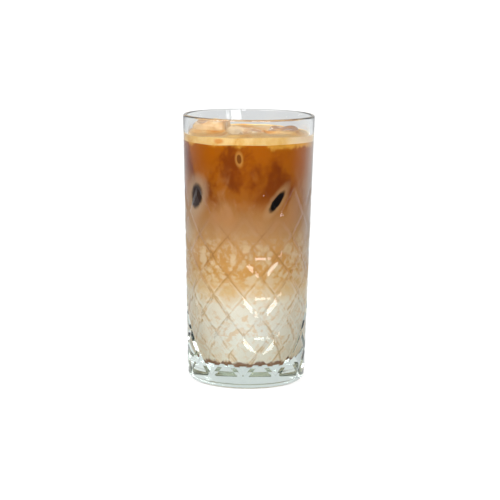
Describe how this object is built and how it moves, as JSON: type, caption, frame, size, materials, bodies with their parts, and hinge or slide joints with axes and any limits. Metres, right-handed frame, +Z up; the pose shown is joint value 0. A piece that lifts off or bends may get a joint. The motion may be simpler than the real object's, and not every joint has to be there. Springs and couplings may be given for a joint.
{
  "type": "iced coffee",
  "caption": "Tall straight tumbler of cut glass filled with layered iced coffee: milk below, coffee above, crema foam and rounded ice cubes on top.",
  "frame": {"origin": "middle of the glass's underside, on the surface it stands on", "axes": "+Z up along the glass's axis, -Y towards the shown front, +X to the right of that front"},
  "size_m": [0.074, 0.074, 0.151],
  "materials": {
    "cut_glass": "clear fire-polished glass with a pale grey-green edge",
    "milk": "opaque wet milk with tan swirls",
    "latte": "opaque wet milk coffee with golden swirls",
    "coffee": "dark amber wet coffee with darker clouds",
    "crema": "fine-bubbled golden foam",
    "ice": "wet ice filmed with foam"
  },
  "bodies": {
    "root": {"glass": "cut_glass", "milk_layer": "milk", "latte_layer": "latte", "coffee_layer": "coffee", "crema_foam": "crema", "ice_cube_left": "ice", "ice_cube_middle": "ice", "ice_cube_right": "ice"}
  },
  "joints": []
}
